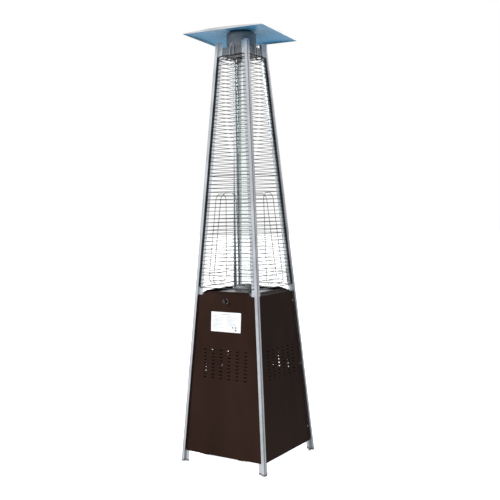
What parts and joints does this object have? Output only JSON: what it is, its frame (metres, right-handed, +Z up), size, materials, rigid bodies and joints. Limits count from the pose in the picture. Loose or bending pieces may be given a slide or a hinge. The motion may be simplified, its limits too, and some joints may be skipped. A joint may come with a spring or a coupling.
{
  "type": "patio heater",
  "caption": "Free-standing square gas patio heater: tapering steel tower with a glass flame tube, wire guards, a vented cabinet and a flat square reflector.",
  "frame": {"origin": "on the floor, on the tower's vertical axis, at the centre of the bottom of its bounding box", "axes": "+Z up, the front door with the control knob faces -Y, +X is to the right seen from the front"},
  "size_m": [0.5348, 0.5348, 2.312],
  "materials": {
    "post_steel": "satin stainless sheet",
    "glide_plastic": "moulded grey",
    "panel_brown": "dark brown powder coat, satin",
    "tray_steel": "galvanised grey",
    "rod_steel": "drawn",
    "label_foil": null,
    "deck_steel": "satin sheet",
    "magnet_case": "moulded",
    "valve_brass": "machined",
    "stem_steel": "machined",
    "knob_plastic": "moulded black",
    "burner_steel": "heat resisting sheet",
    "pipe_metal": "drawn",
    "electrode_metal": "drawn",
    "switch_plastic": "moulded",
    "glass": "clear borosilicate",
    "seal_silicone": "grey silicone",
    "collar_steel": "satin sheet",
    "cap_steel": "dark grey metallic",
    "mirror_film": "polished aluminium under blue protective film",
    "wire_steel": "bright drawn wire",
    "fastener_steel": "plated"
  },
  "bodies": {
    "tower": {"post_front_left": "post_steel", "post_front_right": "post_steel", "post_rear_right": "post_steel", "post_rear_left": "post_steel", "foot_glides": "glide_plastic", "base_tray": "tray_steel", "right_panel": "panel_brown", "rear_panel": "panel_brown", "left_panel": "panel_brown", "door_pivot_rod": "rod_steel", "deck_box": "deck_steel", "door_magnets": "magnet_case", "gas_valve": "valve_brass", "gas_inlet_fitting": "valve_brass", "burner_ring": "burner_steel", "burner_head": "burner_steel", "burner_bracket": "burner_steel", "supply_pipe": "pipe_metal", "pilot_burner": "burner_steel", "thermocouple": "electrode_metal", "spark_electrode": "electrode_metal", "tilt_switch": "switch_plastic", "piezo_igniter": "switch_plastic", "glass_tube": "glass", "lower_tube_seal": "seal_silicone", "upper_tube_seal": "seal_silicone", "top_collar": "collar_steel", "flame_cap": "cap_steel", "stud_bridge": "collar_steel", "reflector": "mirror_film", "reflector_studs": "fastener_steel", "reflector_washers": "fastener_steel", "reflector_wing_nuts": "fastener_steel", "guard_front": "wire_steel", "guard_right": "wire_steel", "guard_rear": "wire_steel", "guard_left": "wire_steel", "panel_screws": "fastener_steel", "collar_screws": "fastener_steel", "deck_screws": "fastener_steel", "tray_screws": "fastener_steel"},
    "door": {"front_door": "panel_brown", "rating_label": "label_foil"},
    "plug": {"valve_plug": "valve_brass"},
    "knob": {"valve_stem": "stem_steel", "control_knob": "knob_plastic"}
  },
  "joints": [
    {"name": "door_tilt", "type": "hinge", "parent": "tower", "child": "door", "pos_m": [0, -0.24817, 0.05434], "axis": [1, 0, 0], "range_deg": [0, 35]},
    {"name": "knob_turn", "type": "hinge", "parent": "tower", "child": "plug", "pos_m": [0, -0.19008, 0.868], "axis": [0, -0.9973, 0.0739], "range_deg": [0, 270]},
    {"name": "knob_push", "type": "slide", "parent": "plug", "child": "knob", "axis": [0, 0.9973, -0.0739], "range_m": [0, 0.004], "stiffness_N_per_m": 900}
  ]
}
